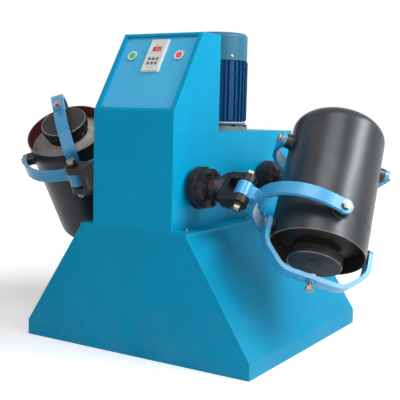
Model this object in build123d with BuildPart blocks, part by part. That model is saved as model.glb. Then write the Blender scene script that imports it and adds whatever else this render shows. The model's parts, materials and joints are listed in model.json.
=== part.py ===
from build123d import *
import os
from math import acos, asin, copysign, cos, hypot, radians, sin, sqrt

# A three-dimensional motion mixer: two closed drums, one at each side of a
# welded machine, are each swung through space by a closed chain of hinges.
# Millimetres. X runs across the machine, the control panel faces -Y, +Z is up.
# The origin is the middle of the footprint, on the floor.

os.makedirs("parts", exist_ok=True)

# Fits and gaps, and how far a cutting tool runs past a face
running_fit = 0.06
loose_fit = 0.3
face_gap = 0.3
overrun = 1.0

# Pedestal
pedestal_width = 800.0
pedestal_depth = 765.0
pedestal_height = 371.0
pedestal_top_width = 376.0
skirt_height = 47.0
pedestal_sheet = 5.0
floor_plate_thickness = 10.0

# Cabinet
cabinet_width = 280.0
cabinet_sheet = 3.0
cabinet_corner = 4.0
foot_plate_thickness = 8.0
foot_plate_split = 57.0
panel_foot_height = pedestal_height + 347.0
tower_height = panel_foot_height + 230.0
tower_top_front = -236.0
tower_back = -135.0
rear_box_height = pedestal_height + 288.0
foot_bolt_radius = 5.75
foot_bolt_height = 6.0
foot_bolt_inset = 8.0
foot_bolt_from_front = 64.0
foot_bolt_before_split = 20.0
foot_bolt_after_split = 110.0
foot_bolt_from_back = 40.0

# Control panel
panel_border = 14.0
panel_end_border = 9.0
panel_recess = 8.0
panel_flange = 5.0
panel_lap = 3.0
panel_thickness = 3.0
panel_screw_radius = 3.2
panel_screw_height = 2.2
panel_screw_inset = 10.0
button_offset = 83.0
button_rise = 58.5
bezel_radius = 16.0
bezel_shoulder = 1.3
bezel_height = 5.0
bezel_depth = 32.0
bezel_floor = 4.0
button_radius = 11.0
button_crown = 2.5
button_travel = 3.0
button_stand = 7.0
controller_width = 61.0
controller_height = 115.0
controller_thickness = 7.0
controller_bevel = 1.5
display_width = 31.0
display_height = 17.0
display_from_top = 36.0
display_depth = 2.0
display_sunk = 0.5
key_size = 8.0
key_height = 1.5
key_column = 13.6
key_row = 15.2

# Chain of hinges: every arm has the same length, and the two shafts stand
# root three arms apart, which is what lets the chain turn without end
arm = 245.0
shaft_height = pedestal_height + 129.0
front_shaft_y = -267.0
pin_reach = 303.0
right_turn = 48.4
left_turn = 118.0

# Shafts and forks
shaft_radius = 22.0
hub_radius = 35.0
disc_radius = 62.0
disc_face_radius = 57.0
disc_near = 155.0
disc_joint = 177.0
disc_far = 199.0
disc_bolts = 6
disc_bolt_circle = 48.0
disc_bolt_radius = 4.0
fork_throat = 40.0
fork_base = 18.0
fork_blend = 22.0
fork_corner = 8.0
ear_thickness = 22.0
ear_radius = 26.0
ear_root = 3.0
ear_boss_radius = 19.0
ear_boss_height = 6.0
shaft_seat = 50.0
idle_shaft_inner = 70.0
idle_collar_radius = 28.0
idle_collar_length = 8.0
cross_pin_radius = 10.0
cross_pin_tail = 4.0
cross_nut_size = 15.0
cross_nut_height = 12.0

# Yokes
barrel_radius = 25.0
barrel_length = 44.0
strap_thickness = 12.0
strap_width = 38.0
strap_reach = 160.0
strap_straight = 38.0
strap_eye = 21.0
stem_width = 34.0
stem_gap = 1.0
open_pin_play = 7.0
open_side_play = 3.0

# Drums
drum_radius = 138.0
drum_wall = 3.0
rim_reach = 72.0
closed_reach = 105.0
shoulder_radius = 40.0
mouth_seat = 26.0
mouth_flange = 8.0
mouth_bend = 2.0
neck_radius = 70.0
neck_start = 58.0
neck_end = 87.0
neck_lip = 77.0
lip_thickness = 6.0
gasket_thickness = 3.0
lid_radius = 78.0
lid_thickness = 20.0
lid_bevel = 3.0
lid_seat = 0.02
spigot_length = 12.0
spigot_play = 1.0
boss_radius = 22.0
boss_reach = 158.0
boss_root = 2.8
bolt_hole_root = 0.2
bolt_root = 4.0
pivot_radius = 10.0
pivot_head_radius = 13.0
pivot_head_height = 8.0

# Lid clamps
bail_rise = 32.0
bail_reach = 147.0
bail_base = 118.0
bail_thickness = 13.0
bail_width = 40.0
bail_side = 60.0
bail_flat = 88.0
bail_bend = 48.0
bail_pin_radius = 6.0
bail_pin_head_radius = 11.0
bail_pin_head_height = 6.0
bail_boss_radius = 16.0
bail_nut_rise = 6.0
screw_radius = 8.0
screw_stand = 27.0
screw_head_radius = 12.0
screw_head_height = 11.0
pad_radius = 15.0
pad_thickness = 5.0
pad_lift = 112.0

# Drive
worm_radius = 11.8
worm_gap = 0.1
wheel_teeth = 30
wheel_module = 3.2
wheel_width = 26.0
gear_wall = 7.0
gear_flange = 10.0
gear_flange_radius = 40.8
gear_clearance = 2.0
gear_side_gap = 4.0
worm_chamber = 5.0
worm_foot = 62.0
sleeve_length = 40.0
sleeve_drop = 24.0
sleeve_play = 3.0
sleeve_step = 12.0
shaft_gap = 6.0
motor_flange_radius = 100.0
motor_flange_thickness = 14.0
motor_flange_bolts = 8
motor_flange_bolt_circle = 93.0
motor_flange_bolt_radius = 3.5
motor_spigot_radius = 86.0
motor_ring_radius = 95.0
motor_ring_thickness = 4.0
motor_rise = 29.0
motor_length = 199.0
motor_core_radius = 89.0
motor_fin_radius = 97.0
motor_fin_width = 3.2
motor_fin_root = 2.0
motor_rib_width = 16.0
motor_rib_angle = -33.0
motor_rib_count = 4
motor_bevel = 7.0
motor_bore = 62.0
fin_count = 32
cowl_length = 89.0
cowl_radius = 94.0
cowl_wall = 2.0
cowl_round = 14.0
cowl_slot_length = 20.0
cowl_slot_width = 7.0
cowl_slot_pitch = 30.0
motor_shaft_radius = 12.0
rotor_radius = 60.0
rotor_foot_gap = 30.0
rotor_top_gap = 35.0
fan_radius = 80.0
fan_gap = 16.0
fan_plate = 3.0
fan_height = 24.0
fan_hub_wall = 8.0
fan_shaft_end = 6.0
fan_blade_start = 30.0
fan_blade_count = 8
terminal_box = 42.0
terminal_box_width = 100.0
terminal_box_height = 86.0
terminal_box_rise = 20.0
terminal_box_corner = 8.0

# Bearings
bearing_boss_radius = 44.0
bearing_boss_reach = 153.0
bearing_flange_radius = 60.0
bearing_flange = 10.0


# Values that follow from the sizes above
half_width = cabinet_width / 2
half_depth = pedestal_depth / 2
cabinet_floor = pedestal_height + foot_plate_thickness
rear_shaft_y = front_shaft_y + sqrt(3) * arm
wheel_pitch_radius = wheel_teeth * wheel_module / 2
worm_y = rear_shaft_y - wheel_pitch_radius - wheel_module - worm_radius - worm_gap
motor_start = rear_box_height + motor_rise
motor_end = motor_start + motor_length
cowl_end = motor_end + cowl_length
ear_inner_tight = barrel_length / 2 + face_gap
ear_inner_open = barrel_length / 2 + open_side_play
eye_outer = strap_reach + strap_thickness


def side_on(frame):
    """The same origin, looked at along the frame's x: (y, z) lie in the plane."""
    return Plane(origin=frame.origin, x_dir=frame.y_dir, z_dir=frame.x_dir)


def edge_on(frame):
    """The same origin, looked at along the frame's y: (z, x) lie in the plane."""
    return Plane(origin=frame.origin, x_dir=frame.z_dir, z_dir=frame.y_dir)


def shifted(frame, x, y, z):
    """The frame carried to a point given in its own directions."""
    return Plane(origin=frame.from_local_coords(Vector(x, y, z)), x_dir=frame.x_dir, z_dir=frame.z_dir)


def post(plane, radius, start, end, mode=Mode.ADD):
    """A round bar along the normal of a plane, between two heights."""
    with BuildSketch(plane.offset(start), mode=Mode.PRIVATE) as face:
        Circle(radius)
    extrude(face.sketch, amount=end - start, mode=mode)


def hexagon(plane, radius, start, end):
    """A hexagonal head or nut along the normal of a plane."""
    with BuildSketch(plane.offset(start), mode=Mode.PRIVATE) as face:
        RegularPolygon(radius, 6)
    extrude(face.sketch, amount=end - start)


def block(plane, width, height, start, end, mode=Mode.ADD):
    """A square-edged bar along the normal of a plane, between two heights."""
    with BuildSketch(plane.offset(start), mode=Mode.PRIVATE) as face:
        Rectangle(width, height)
    extrude(face.sketch, amount=end - start, mode=mode)


def save(piece, label):
    """Names a finished piece and writes it to its own file."""
    piece.part.label = label
    export_step(piece.part, f"parts/{label}.step")


# Pedestal: a folded sheet housing, open below, on a thick floor plate
def pedestal_outline(lowest):
    half_top = pedestal_top_width / 2
    half = pedestal_width / 2
    with BuildSketch(Plane.XZ, mode=Mode.PRIVATE) as outline:
        with BuildLine():
            Polyline(
                (-half, lowest),
                (half, lowest),
                (half, skirt_height),
                (half_top, pedestal_height),
                (-half_top, pedestal_height),
                (-half, skirt_height),
                close=True,
            )
        make_face()
    return outline.sketch


with BuildPart() as pedestal:
    extrude(pedestal_outline(0), amount=half_depth, both=True)
    with BuildSketch(Plane.XZ, mode=Mode.PRIVATE) as hollow:
        add(pedestal_outline(-pedestal_depth))
        offset(amount=-pedestal_sheet, kind=Kind.INTERSECTION, mode=Mode.REPLACE)
    extrude(hollow.sketch, amount=half_depth - pedestal_sheet, both=True, mode=Mode.SUBTRACT)
save(pedestal, "pedestal")

with BuildPart() as floor_plate:
    with BuildSketch():
        Rectangle(
            pedestal_width - 2 * (pedestal_sheet + face_gap),
            pedestal_depth - 2 * (pedestal_sheet + face_gap),
        )
    extrude(amount=floor_plate_thickness)
save(floor_plate, "floor_plate")


# Foot plates: two machined plates under the cabinet, bolted to the pedestal
def foot_plate(front, back, label):
    middle = (front + back) / 2
    with BuildPart() as plate:
        with BuildSketch(Plane.XY.offset(pedestal_height)):
            with Locations((0, middle)):
                Rectangle(pedestal_top_width, back - front)
        extrude(amount=foot_plate_thickness)
    save(plate, label)


foot_plate(-half_depth, foot_plate_split, "front_foot_plate")
foot_plate(foot_plate_split + face_gap, half_depth, "rear_foot_plate")

bolt_rows = (
    -half_depth + foot_bolt_from_front,
    foot_plate_split - foot_bolt_before_split,
    foot_plate_split + foot_bolt_after_split,
    half_depth - foot_bolt_from_back,
)
with BuildPart() as foot_bolts:
    for side in (-1, 1):
        for row in bolt_rows:
            seat = Plane.XY.offset(cabinet_floor)
            spot = shifted(seat, side * (half_width + foot_bolt_inset), row, 0)
            hexagon(spot, foot_bolt_radius, 0, foot_bolt_height)
save(foot_bolts, "foot_plate_bolts")


# Cabinet: front tower with a sloping face, low box behind, one folded shell
def cabinet_outline(lowest, inset):
    with BuildSketch(Plane.YZ, mode=Mode.PRIVATE) as outline:
        with BuildLine():
            Polyline(
                (-half_depth, lowest),
                (-half_depth, panel_foot_height),
                (tower_top_front, tower_height),
                (tower_back, tower_height),
                (tower_back, rear_box_height),
                (half_depth, rear_box_height),
                (half_depth, lowest),
                close=True,
            )
        make_face()
        if inset:
            offset(amount=-inset, kind=Kind.INTERSECTION, mode=Mode.REPLACE)
    return outline.sketch


slope_y = tower_top_front + half_depth
slope_z = tower_height - panel_foot_height
slope_length = hypot(slope_y, slope_z)
slope_plane = Plane(
    origin=(0, -half_depth + slope_y / 2, panel_foot_height + slope_z / 2),
    x_dir=(1, 0, 0),
    z_dir=(0, -slope_z, slope_y),
)
window_width = cabinet_width - 2 * panel_border
window_height = slope_length - 2 * panel_end_border
motor_plane = Plane(origin=(0, worm_y, 0), z_dir=(0, 0, 1))

with BuildPart() as cabinet:
    extrude(cabinet_outline(cabinet_floor, 0), amount=half_width, both=True)
    tower_edges = cabinet.edges().filter_by(Axis.X).filter_by(
        lambda edge: edge.center().Z > panel_foot_height - overrun and edge.center().Y < tower_back + overrun
    )
    fillet(tower_edges, cabinet_corner)
    extrude(
        cabinet_outline(cabinet_floor - pedestal_height, cabinet_sheet),
        amount=half_width - cabinet_sheet,
        both=True,
        mode=Mode.SUBTRACT,
    )
    block(
        slope_plane,
        cabinet_width - 2 * cabinet_sheet,
        window_height + 2 * panel_flange,
        -panel_recess,
        -cabinet_sheet / 2,
    )
    block(slope_plane, window_width, window_height, -panel_recess - overrun, overrun, mode=Mode.SUBTRACT)
    for shaft_y in (front_shaft_y, rear_shaft_y):
        bore_plane = Plane(origin=(0, shaft_y, shaft_height), x_dir=(0, 1, 0), z_dir=(1, 0, 0))
        post(
            bore_plane,
            bearing_boss_radius + face_gap,
            -half_width - overrun,
            half_width + overrun,
            mode=Mode.SUBTRACT,
        )
    post(
        motor_plane,
        motor_shaft_radius + gear_wall,
        rear_box_height - cabinet_sheet - overrun,
        rear_box_height + overrun,
        mode=Mode.SUBTRACT,
    )
save(cabinet, "cabinet")


# Control panel: the plate behind the window, with its buttons and controller
panel_plane = slope_plane.offset(-panel_recess)

with BuildPart() as control_panel:
    block(
        panel_plane,
        window_width + 2 * panel_flange,
        window_height + 2 * panel_lap,
        -panel_thickness,
        0,
    )
    for x in (-button_offset, button_offset):
        spot = shifted(panel_plane, x, button_rise, 0)
        post(spot, bezel_radius - bezel_shoulder + face_gap, -panel_thickness, 0, mode=Mode.SUBTRACT)
save(control_panel, "control_panel")

with BuildPart() as panel_screws:
    for x in (-1, 1):
        for y in (-1, 1):
            across = x * (window_width / 2 - panel_screw_inset)
            along = y * (window_height / 2 - panel_screw_inset)
            post(shifted(panel_plane, across, along, 0), panel_screw_radius, 0, panel_screw_height)
save(panel_screws, "panel_screws")

for label, x in (("start", -button_offset), ("stop", button_offset)):
    button_plane = shifted(panel_plane, x, button_rise, 0)
    with BuildPart() as bezel:
        post(button_plane, bezel_radius, 0, bezel_height)
        post(button_plane, bezel_radius - bezel_shoulder, -bezel_depth, 0)
        post(button_plane, button_radius + loose_fit, -bezel_depth + bezel_floor, bezel_height, mode=Mode.SUBTRACT)
    save(bezel, f"{label}_bezel")
    with BuildPart() as button:
        post(button_plane, button_radius, -bezel_depth + bezel_floor + 2 * button_travel, button_stand)
        crown = button.faces().sort_by(Axis(button_plane.origin, button_plane.z_dir))[-1]
        fillet(crown.edges(), button_crown)
    save(button, f"{label}_button")

controller_plane = shifted(panel_plane, 0, controller_height / 2, 0)
display_plane = shifted(controller_plane, 0, controller_height / 2 - display_from_top, controller_thickness)
with BuildPart() as speed_controller:
    block(controller_plane, controller_width, controller_height, 0, controller_thickness)
    rim = speed_controller.faces().sort_by(Axis(controller_plane.origin, controller_plane.z_dir))[-1]
    chamfer(rim.edges(), controller_bevel)
    block(display_plane, display_width, display_height, -display_depth, overrun, mode=Mode.SUBTRACT)
save(speed_controller, "speed_controller")

with BuildPart() as display_window:
    block(
        display_plane,
        display_width - face_gap,
        display_height - face_gap,
        -display_depth,
        -display_sunk,
    )
save(display_window, "display_window")

key_plane = shifted(controller_plane, 0, -controller_height / 4, controller_thickness)
with BuildPart() as controller_keys:
    for row in (0, 1):
        for column in (-1, 0, 1):
            key = shifted(key_plane, column * key_column, row * key_row, 0)
            block(key, key_size, key_size, 0, key_height)
save(controller_keys, "controller_keys")


# Geared drive: worm on the upright motor axis, wheel on the rear shaft
rear_axis = Plane(origin=(0, rear_shaft_y, shaft_height), x_dir=(0, 1, 0), z_dir=(1, 0, 0))
wheel_tip = wheel_pitch_radius + wheel_module
wheel_root = wheel_pitch_radius - 1.2 * wheel_module
chamber_half = wheel_width / 2 + gear_side_gap
gear_half = chamber_half + gear_wall
chamber_radius = wheel_tip + gear_clearance
neck_top = rear_box_height - cabinet_sheet
sleeve_radius = motor_shaft_radius + gear_wall
sleeve_end = rear_box_height - sleeve_drop
sleeve_start = sleeve_end - sleeve_length
gear_foot = shaft_height - worm_foot

with BuildPart() as gearbox_housing:
    post(rear_axis, chamber_radius + gear_wall, -gear_half, gear_half)
    post(motor_plane, worm_radius + worm_chamber + gear_wall, gear_foot, neck_top - gear_flange)
    post(motor_plane, gear_flange_radius, neck_top - gear_flange, neck_top)
    post(motor_plane, sleeve_radius + sleeve_play + gear_wall, sleeve_start - sleeve_step, neck_top)
    post(rear_axis, chamber_radius, -chamber_half, chamber_half, mode=Mode.SUBTRACT)
    post(motor_plane, worm_radius + worm_chamber, gear_foot + gear_wall, sleeve_start, mode=Mode.SUBTRACT)
    post(
        motor_plane,
        sleeve_radius + sleeve_play,
        sleeve_start - sleeve_play,
        neck_top + overrun,
        mode=Mode.SUBTRACT,
    )
    post(
        motor_plane,
        worm_radius + running_fit,
        gear_foot - overrun,
        gear_foot + gear_wall + overrun,
        mode=Mode.SUBTRACT,
    )
    post(rear_axis, shaft_radius + running_fit, -gear_half - overrun, gear_half + overrun, mode=Mode.SUBTRACT)
save(gearbox_housing, "gearbox_housing")

with BuildPart() as worm_wheel:
    with BuildSketch(rear_axis.offset(-wheel_width / 2)):
        Circle(wheel_tip)
        with PolarLocations((wheel_tip + wheel_root) / 2, wheel_teeth):
            Trapezoid(
                wheel_module * 1.5,
                wheel_tip - wheel_root,
                100,
                rotation=-90,
                mode=Mode.SUBTRACT,
            )
        Circle(wheel_root)
        Circle(shaft_radius + running_fit, mode=Mode.SUBTRACT)
    extrude(amount=wheel_width)
save(worm_wheel, "worm_wheel")

with BuildPart() as worm:
    post(motor_plane, worm_radius, gear_foot, sleeve_start)
    post(motor_plane, sleeve_radius, sleeve_start, sleeve_end)
    post(
        motor_plane,
        motor_shaft_radius + running_fit,
        sleeve_start + shaft_gap,
        sleeve_end,
        mode=Mode.SUBTRACT,
    )
save(worm, "worm")


# Motor
with BuildPart() as motor_flange:
    post(motor_plane, motor_flange_radius, rear_box_height, rear_box_height + motor_flange_thickness)
    post(motor_plane, motor_spigot_radius, rear_box_height, motor_start)
    ring_end = motor_start - motor_ring_thickness
    post(motor_plane, motor_ring_radius, ring_end - motor_ring_thickness, ring_end)
    post(
        motor_plane,
        motor_shaft_radius + running_fit,
        rear_box_height - overrun,
        motor_start + overrun,
        mode=Mode.SUBTRACT,
    )
    with BuildSketch(motor_plane.offset(rear_box_height), mode=Mode.PRIVATE) as holes:
        with PolarLocations(motor_flange_bolt_circle, motor_flange_bolts, start_angle=180 / motor_flange_bolts):
            Circle(motor_flange_bolt_radius)
    extrude(holes.sketch, amount=motor_flange_thickness, mode=Mode.SUBTRACT)
save(motor_flange, "motor_flange")

fin_start = motor_core_radius - motor_fin_root
fin_middle = (fin_start + motor_fin_radius) / 2
fin_depth = motor_fin_radius - fin_start
with BuildPart() as motor_housing:
    with BuildSketch(motor_plane.offset(motor_start)):
        Circle(motor_core_radius)
        with PolarLocations(fin_middle, fin_count):
            Rectangle(fin_depth, motor_fin_width)
        with PolarLocations(fin_middle, motor_rib_count, start_angle=motor_rib_angle):
            Rectangle(fin_depth, motor_rib_width)
    extrude(amount=motor_end - motor_start)
    upright = Plane(origin=motor_plane.origin, x_dir=(1, 0, 0), z_dir=(0, -1, 0))
    envelope = motor_fin_radius + overrun
    with BuildSketch(upright, mode=Mode.PRIVATE) as bevels:
        with BuildLine():
            Polyline(
                (0, motor_start),
                (envelope - motor_bevel, motor_start),
                (envelope, motor_start + motor_bevel),
                (envelope, motor_end - motor_bevel),
                (envelope - motor_bevel, motor_end),
                (0, motor_end),
                close=True,
            )
        make_face()
    revolve(bevels.sketch, axis=Axis(motor_plane.origin, (0, 0, 1)), mode=Mode.INTERSECT)
    post(motor_plane, motor_bore, motor_start, motor_end, mode=Mode.SUBTRACT)
save(motor_housing, "motor_housing")

box_middle = Vector(-motor_fin_radius, worm_y, (motor_start + motor_end) / 2 + terminal_box_rise)
side_box = Plane(origin=box_middle, x_dir=(0, 1, 0), z_dir=(-1, 0, 0))
with BuildPart() as terminal_cover:
    block(side_box, terminal_box_width, terminal_box_height, face_gap, terminal_box)
    fillet(terminal_cover.edges().filter_by(Axis.X), terminal_box_corner)
save(terminal_cover, "motor_terminal_box")

with BuildPart() as fan_cowl:
    post(motor_plane, cowl_radius, motor_end, cowl_end)
    fillet(fan_cowl.faces().sort_by(Axis.Z)[-1].edges(), cowl_round)
    post(motor_plane, cowl_radius - cowl_wall, motor_end, cowl_end - cowl_round, mode=Mode.SUBTRACT)
    post(motor_plane, cowl_radius - cowl_round, motor_end, cowl_end - cowl_wall, mode=Mode.SUBTRACT)
    with BuildSketch(motor_plane.offset(cowl_end - cowl_wall - overrun), mode=Mode.PRIVATE) as slots:
        for ring in (1, 2):
            with PolarLocations(ring * cowl_slot_pitch, 6 * ring):
                SlotOverall(cowl_slot_length, cowl_slot_width, rotation=90)
    extrude(slots.sketch, amount=cowl_wall + 2 * overrun, mode=Mode.SUBTRACT)
save(fan_cowl, "motor_fan_cover")

fan_start = motor_end + fan_gap
fan_end = fan_start + fan_height
with BuildPart() as motor_rotor:
    post(motor_plane, motor_shaft_radius, sleeve_start + shaft_gap + face_gap, fan_end + fan_shaft_end)
    post(motor_plane, rotor_radius, motor_start + rotor_foot_gap, motor_end - rotor_top_gap)
save(motor_rotor, "motor_rotor")

with BuildPart() as cooling_fan:
    post(motor_plane, fan_radius, fan_start, fan_start + fan_plate)
    post(motor_plane, motor_shaft_radius + fan_hub_wall, fan_start, fan_end)
    with BuildSketch(motor_plane.offset(fan_start), mode=Mode.PRIVATE) as blades:
        with PolarLocations((fan_radius + fan_blade_start) / 2, fan_blade_count):
            Rectangle(fan_radius - fan_blade_start, fan_plate)
    extrude(blades.sketch, amount=fan_height)
    post(
        motor_plane,
        motor_shaft_radius + running_fit,
        fan_start - overrun,
        fan_end + overrun,
        mode=Mode.SUBTRACT,
    )
save(cooling_fan, "cooling_fan")


# Shafts: one through shaft behind, driven, and two idle stub shafts in front
shaft_end = disc_near + shaft_seat
with BuildPart() as drive_shaft:
    post(rear_axis, shaft_radius, -shaft_end, shaft_end)
save(drive_shaft, "drive_shaft")

side_names = {1: "right", -1: "left"}
for side, name in side_names.items():
    front_axis = Plane(origin=(0, front_shaft_y, shaft_height), x_dir=(0, 1, 0), z_dir=(side, 0, 0))
    with BuildPart() as idle_shaft:
        post(front_axis, shaft_radius, idle_shaft_inner, shaft_end)
        post(front_axis, idle_collar_radius, idle_shaft_inner - idle_collar_length, idle_shaft_inner)
    save(idle_shaft, f"idle_shaft_{name}")


# Bearings: flanged bushes bolted to the inside of the cabinet walls
for side, name in side_names.items():
    for place, shaft_y in (("front", front_shaft_y), ("rear", rear_shaft_y)):
        bush_axis = Plane(origin=(0, shaft_y, shaft_height), x_dir=(0, 1, 0), z_dir=(side, 0, 0))
        inner_face = half_width - cabinet_sheet
        with BuildPart() as bearing:
            post(bush_axis, bearing_flange_radius, inner_face - bearing_flange, inner_face)
            post(bush_axis, bearing_boss_radius, inner_face - 2 * bearing_flange, bearing_boss_reach)
            post(bush_axis, shaft_radius + running_fit, 0, bearing_boss_reach + overrun, mode=Mode.SUBTRACT)
        save(bearing, f"{place}_bearing_{name}")


def fork(frame, ear_inner, label):
    """Frame: origin on the cross pin, x along the pin, z outwards along the shaft."""
    disc_start = disc_near - pin_reach
    disc_step = disc_joint - pin_reach
    disc_stop = disc_far - pin_reach
    ear_outer = ear_inner + ear_thickness
    boss_outer = ear_outer + ear_boss_height
    base_start = -fork_throat - fork_base
    ear_length = fork_throat + 2 * ear_root
    with BuildPart() as piece:
        post(frame, disc_radius, disc_start, disc_step)
        post(frame, disc_face_radius, disc_step, disc_stop)
        post(frame, hub_radius, disc_stop, base_start - fork_blend)
        with BuildSketch(frame.offset(base_start - fork_blend)):
            Circle(hub_radius)
        with BuildSketch(frame.offset(base_start)):
            RectangleRounded(2 * ear_outer, 2 * ear_radius, fork_corner)
        loft()
        with BuildSketch(frame.offset(base_start)):
            RectangleRounded(2 * ear_outer, 2 * ear_radius, fork_corner)
        extrude(amount=fork_base)
        for near in (ear_inner, -ear_outer):
            with BuildSketch(side_on(frame).offset(near), mode=Mode.PRIVATE) as ear:
                Circle(ear_radius)
                with Locations((0, -ear_length / 2)):
                    Rectangle(2 * ear_radius, ear_length)
            extrude(ear.sketch, amount=ear_thickness)
        post(side_on(frame), ear_boss_radius, ear_outer, boss_outer)
        post(side_on(frame), ear_boss_radius, -boss_outer, -ear_outer)
        post(frame, shaft_radius + running_fit, disc_start - overrun, disc_start + shaft_seat, mode=Mode.SUBTRACT)
        post(
            side_on(frame),
            cross_pin_radius + running_fit,
            -boss_outer - overrun,
            boss_outer + overrun,
            mode=Mode.SUBTRACT,
        )
        with BuildSketch(frame.offset(disc_start), mode=Mode.PRIVATE) as bolt_holes:
            with PolarLocations(disc_bolt_circle, disc_bolts):
                Circle(disc_bolt_radius)
        extrude(bolt_holes.sketch, amount=disc_stop - disc_start, mode=Mode.SUBTRACT)
    save(piece, label)


def cross_pin(frame, ear_inner, label):
    """The bolt through the fork's ears and the yoke's barrel, with its nut."""
    seat = ear_inner + ear_thickness + ear_boss_height
    nut_end = seat + cross_nut_height
    pin_plane = side_on(frame)
    with BuildPart() as pin:
        post(pin_plane, cross_pin_radius, -nut_end - cross_pin_tail, seat)
        hexagon(pin_plane, cross_nut_size, seat, nut_end)
    with BuildPart() as nut:
        hexagon(pin_plane, cross_nut_size, -nut_end, -seat)
        post(
            pin_plane,
            cross_pin_radius + running_fit,
            -nut_end - overrun,
            -seat + overrun,
            mode=Mode.SUBTRACT,
        )
    with BuildPart() as pair:
        add(pin.part)
        add(nut.part)
    save(pair, label)


def yoke(frame, pin_play, label):
    """Frame: origin on the drum's pivots, x along the pivots, y towards the shaft."""
    centre = shifted(frame, 0, strap_straight, 0)
    with BuildPart() as piece:
        with BuildSketch(frame.offset(-strap_width / 2), mode=Mode.PRIVATE) as bow:
            for radius, mode in ((eye_outer, Mode.ADD), (strap_reach, Mode.SUBTRACT)):
                with Locations((0, strap_straight)):
                    Circle(radius, mode=mode)
                with Locations((0, strap_straight / 2)):
                    Rectangle(2 * radius, strap_straight, mode=mode)
            with Locations((0, -eye_outer)):
                Rectangle(4 * eye_outer, 2 * eye_outer, mode=Mode.SUBTRACT)
        extrude(bow.sketch, amount=strap_width)
        post(side_on(frame), strap_eye, strap_reach, eye_outer)
        post(side_on(frame), strap_eye, -eye_outer, -strap_reach)
        stem_start = strap_straight + strap_reach + strap_thickness / 2
        stem_end = arm - cross_pin_radius - pin_play - stem_gap
        block(edge_on(frame), strap_width, stem_width, stem_start, stem_end)
        post(shifted(frame, 0, arm, 0), barrel_radius, -barrel_length / 2, barrel_length / 2)
        post(
            shifted(frame, 0, arm, 0),
            cross_pin_radius + pin_play,
            -barrel_length / 2 - overrun,
            barrel_length / 2 + overrun,
            mode=Mode.SUBTRACT,
        )
        post(
            side_on(frame),
            pivot_radius + running_fit,
            -eye_outer - overrun,
            eye_outer + overrun,
            mode=Mode.SUBTRACT,
        )
    save(piece, label)


def drum_shell(frame, label):
    """Frame: origin on the near pivots, x along them, z out of the open end."""
    end = -arm - closed_reach
    spin = Axis(frame.origin, frame.z_dir)
    with BuildPart() as shell:
        for inset, mode in ((0, Mode.ADD), (drum_wall, Mode.SUBTRACT)):
            radius = drum_radius - inset
            bend = shoulder_radius - inset
            stop = end + inset
            with BuildSketch(side_on(frame), mode=Mode.PRIVATE) as profile:
                with BuildLine():
                    Polyline((0, stop), (0, rim_reach), (radius, rim_reach), (radius, stop + bend))
                    RadiusArc((radius, stop + bend), (radius - bend, stop), bend)
                    Line((radius - bend, stop), (0, stop))
                make_face()
            revolve(profile.sketch, axis=spin, mode=mode)
        start = drum_radius - boss_root
        hole_start = drum_radius + bolt_hole_root
        far = shifted(frame, 0, 0, -arm)
        catch = shifted(frame, 0, 0, bail_rise)
        bosses = (
            (side_on(frame), boss_radius, boss_reach, pivot_radius),
            (edge_on(far), boss_radius, boss_reach, pivot_radius),
            (edge_on(catch), bail_boss_radius, bail_reach - face_gap, bail_pin_radius),
        )
        for plane, radius, reach, hole in bosses:
            for near, stop in ((start, reach), (-reach, -start)):
                post(plane, radius, near, stop)
            for near, stop in ((hole_start, reach + overrun), (-reach - overrun, -hole_start)):
                post(plane, hole + running_fit, near, stop, mode=Mode.SUBTRACT)
    save(shell, label)


def drum_mouth(frame, label):
    """The cone and neck that close the open end of the drum down to its lid."""
    outer = drum_radius - drum_wall - running_fit
    spin = Axis(frame.origin, frame.z_dir)
    with BuildPart() as mouth:
        with BuildSketch(side_on(frame), mode=Mode.PRIVATE) as profile:
            with BuildLine():
                Polyline(
                    (outer, mouth_seat - mouth_flange),
                    (outer, mouth_seat),
                    (neck_radius, neck_start),
                    (neck_radius, neck_end - lip_thickness),
                    (neck_lip, neck_end - lip_thickness),
                    (neck_lip, neck_end),
                    (neck_radius - drum_wall, neck_end),
                    (neck_radius - drum_wall, neck_start - mouth_bend),
                    (outer - drum_wall, mouth_seat - mouth_bend),
                    (outer - drum_wall, mouth_seat - mouth_flange),
                    close=True,
                )
            make_face()
        revolve(profile.sketch, axis=spin)
    save(mouth, label)


def lid_and_gasket(frame, lid_label, gasket_label):
    inner = neck_radius - drum_wall
    with BuildPart() as gasket:
        post(frame, neck_lip, neck_end, neck_end + gasket_thickness)
        post(frame, inner, neck_end, neck_end + gasket_thickness, mode=Mode.SUBTRACT)
    save(gasket, gasket_label)
    lid_start = neck_end + gasket_thickness + lid_seat
    with BuildPart() as lid:
        post(frame, lid_radius, lid_start, lid_start + lid_thickness)
        top = lid.faces().sort_by(Axis(frame.origin, frame.z_dir))[-1]
        chamfer(top.edges(), lid_bevel)
        post(frame, inner - spigot_play, neck_end - spigot_length, lid_start)
    save(lid, lid_label)


def drum_bolts(frame, label):
    """Shouldered bolts that the yokes turn on, screwed into the drum's bosses."""
    far = shifted(frame, 0, 0, -arm)
    head_start = eye_outer + face_gap
    root = drum_radius + bolt_root
    with BuildPart() as bolts:
        for plane in (side_on(frame), edge_on(far)):
            post(plane, pivot_radius, root, head_start)
            hexagon(plane, pivot_head_radius, head_start, head_start + pivot_head_height)
            post(plane, pivot_radius, -head_start, -root)
            hexagon(plane, pivot_head_radius, -head_start - pivot_head_height, -head_start)
    save(bolts, label)


def bail_pins(frame, label):
    catch = edge_on(shifted(frame, 0, 0, bail_rise))
    head_start = bail_reach + bail_thickness + face_gap
    root = drum_radius + bolt_root
    with BuildPart() as pins:
        for near, stop in ((root, head_start), (-head_start, -root)):
            post(catch, bail_pin_radius, near, stop)
        hexagon(catch, bail_pin_head_radius, head_start, head_start + bail_pin_head_height)
        hexagon(catch, bail_pin_head_radius, -head_start - bail_pin_head_height, -head_start)
    save(pins, label)


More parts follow.
